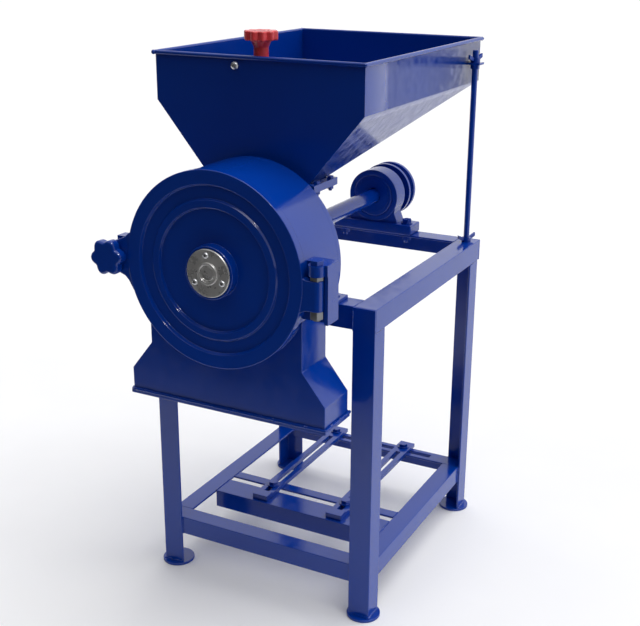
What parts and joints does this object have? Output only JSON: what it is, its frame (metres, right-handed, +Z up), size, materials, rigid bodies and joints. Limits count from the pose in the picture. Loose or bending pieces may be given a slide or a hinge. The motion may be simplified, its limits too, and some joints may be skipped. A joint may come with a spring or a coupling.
{
  "type": "hammer mill",
  "caption": "Belt-driven grain mill: round drum with hinged door, swinging hammers and ring screen, fed by a rectangular hopper, on an angle-iron stand with motor slides.",
  "frame": {"origin": "middle of the whole object's footprint, on the floor", "axes": "+Z up; -Y towards the door side, +Y towards the pulley; +X towards the door hinge"},
  "size_m": [0.4559, 0.7154, 1.004],
  "materials": {
    "blue_enamel": "glossy",
    "cast_blue": "glossy",
    "steel": "satin",
    "zinc": "satin",
    "cast_iron": "rough",
    "red_plastic": "glossy",
    "blue_plastic": "glossy",
    "rubber": "matt",
    "dark_steel": "oiled"
  },
  "bodies": {
    "stand": {"back_plate": "cast_blue", "bearing_block": "cast_blue", "block_bearing_outer": "steel", "block_covers": "cast_blue", "discharge_chute": "blue_enamel", "door_seal": "rubber", "drum_bearing_outer": "steel", "drum_brackets": "blue_enamel", "drum_shell": "cast_blue", "feed_throat": "blue_enamel", "foot_pads": "blue_enamel", "gate_bracket": "blue_enamel", "hinge_bracket": "cast_blue", "hinge_pin": "dark_steel", "hopper": "blue_enamel", "low_rail_front": "blue_enamel", "low_rail_left": "blue_enamel", "low_rail_rear": "blue_enamel", "low_rail_right": "blue_enamel", "machine_bolts": "dark_steel", "motor_cross_members": "blue_enamel", "ring_screen": "dark_steel", "stand_leg_front_left": "blue_enamel", "stand_leg_front_right": "blue_enamel", "stand_leg_rear_left": "blue_enamel", "stand_leg_rear_right": "blue_enamel", "stay_rod": "blue_enamel", "top_rail_front": "blue_enamel", "top_rail_left": "blue_enamel", "top_rail_rear": "blue_enamel", "top_rail_right": "blue_enamel", "wing_nuts": "blue_enamel"},
    "door_body": {"door": "cast_blue", "hub_cover": "steel", "hub_screws": "zinc"},
    "clamp_knob_body": {"clamp_knob": "blue_plastic"},
    "rotor": {"main_shaft": "cast_blue", "pulley_key": "steel", "pulley": "cast_blue", "rotor_plates": "cast_iron", "rotor_hub": "cast_iron", "rotor_nut": "dark_steel", "hammer_pins": "dark_steel", "drum_bearing_inner": "steel", "block_bearing_inner": "steel"},
    "gate": {"feed_gate": "blue_enamel"},
    "gate_screw_body": {"gate_screw": "steel", "feed_knob": "red_plastic"},
    "slide_left": {"motor_slide_left": "blue_enamel", "slide_bolts_left": "dark_steel"},
    "slide_right": {"motor_slide_right": "blue_enamel", "slide_bolts_right": "dark_steel"},
    "hammer_1_body": {"hammer_1": "dark_steel"},
    "hammer_2_body": {"hammer_2": "dark_steel"},
    "hammer_3_body": {"hammer_3": "dark_steel"},
    "hammer_4_body": {"hammer_4": "dark_steel"},
    "hammer_5_body": {"hammer_5": "dark_steel"},
    "hammer_6_body": {"hammer_6": "dark_steel"},
    "hammer_7_body": {"hammer_7": "dark_steel"},
    "hammer_8_body": {"hammer_8": "dark_steel"}
  },
  "joints": [
    {"name": "door_hinge", "type": "hinge", "parent": "stand", "child": "door_body", "pos_m": [0.178, -0.32635, 0.638], "axis": [0, 0, 1], "range_deg": [0, 105]},
    {"name": "clamp_knob_turn", "type": "hinge", "parent": "door_body", "child": "clamp_knob_body", "pos_m": [-0.192, -0.34335, 0.652], "axis": [0, 1, 0], "continuous": true},
    {"name": "shaft_spin", "type": "hinge", "parent": "stand", "child": "rotor", "pos_m": [0, -0.19635, 0.652], "axis": [0, 1, 0], "continuous": true},
    {"name": "hammer_1_swing", "type": "hinge", "parent": "rotor", "child": "hammer_1_body", "pos_m": [0.05003, -0.28635, 0.70203], "axis": [0, 1, 0], "continuous": true},
    {"name": "hammer_2_swing", "type": "hinge", "parent": "rotor", "child": "hammer_2_body", "pos_m": [0.05003, -0.26235, 0.70203], "axis": [0, 1, 0], "continuous": true},
    {"name": "hammer_3_swing", "type": "hinge", "parent": "rotor", "child": "hammer_3_body", "pos_m": [-0.05003, -0.27435, 0.70203], "axis": [0, 1, 0], "continuous": true},
    {"name": "hammer_4_swing", "type": "hinge", "parent": "rotor", "child": "hammer_4_body", "pos_m": [-0.05003, -0.25035, 0.70203], "axis": [0, 1, 0], "continuous": true},
    {"name": "hammer_5_swing", "type": "hinge", "parent": "rotor", "child": "hammer_5_body", "pos_m": [-0.05003, -0.28635, 0.60197], "axis": [0, 1, 0], "continuous": true},
    {"name": "hammer_6_swing", "type": "hinge", "parent": "rotor", "child": "hammer_6_body", "pos_m": [-0.05003, -0.26235, 0.60197], "axis": [0, 1, 0], "continuous": true},
    {"name": "hammer_7_swing", "type": "hinge", "parent": "rotor", "child": "hammer_7_body", "pos_m": [0.05003, -0.27435, 0.60197], "axis": [0, 1, 0], "continuous": true},
    {"name": "hammer_8_swing", "type": "hinge", "parent": "rotor", "child": "hammer_8_body", "pos_m": [0.05003, -0.25035, 0.60197], "axis": [0, 1, 0], "continuous": true},
    {"name": "gate_screw_turn", "type": "hinge", "parent": "stand", "child": "gate_screw_body", "pos_m": [-0.005, -0.16985, 0.93], "axis": [0, 0, 1], "range_deg": [0, 12342.86]},
    {"name": "gate_lift", "type": "slide", "parent": "stand", "child": "gate", "axis": [0, 0, 1], "range_m": [0, 0.0601]},
    {"name": "motor_slide_left_shift", "type": "slide", "parent": "stand", "child": "slide_left", "axis": [1, 0, 0], "range_m": [-0.04, 0.04]},
    {"name": "motor_slide_right_shift", "type": "slide", "parent": "stand", "child": "slide_right", "axis": [1, 0, 0], "range_m": [-0.04, 0.04]}
  ],
  "couplings": [
    {"joint": "gate_lift", "follows": "gate_screw_turn", "m_per_rad": 0.00027852}
  ]
}
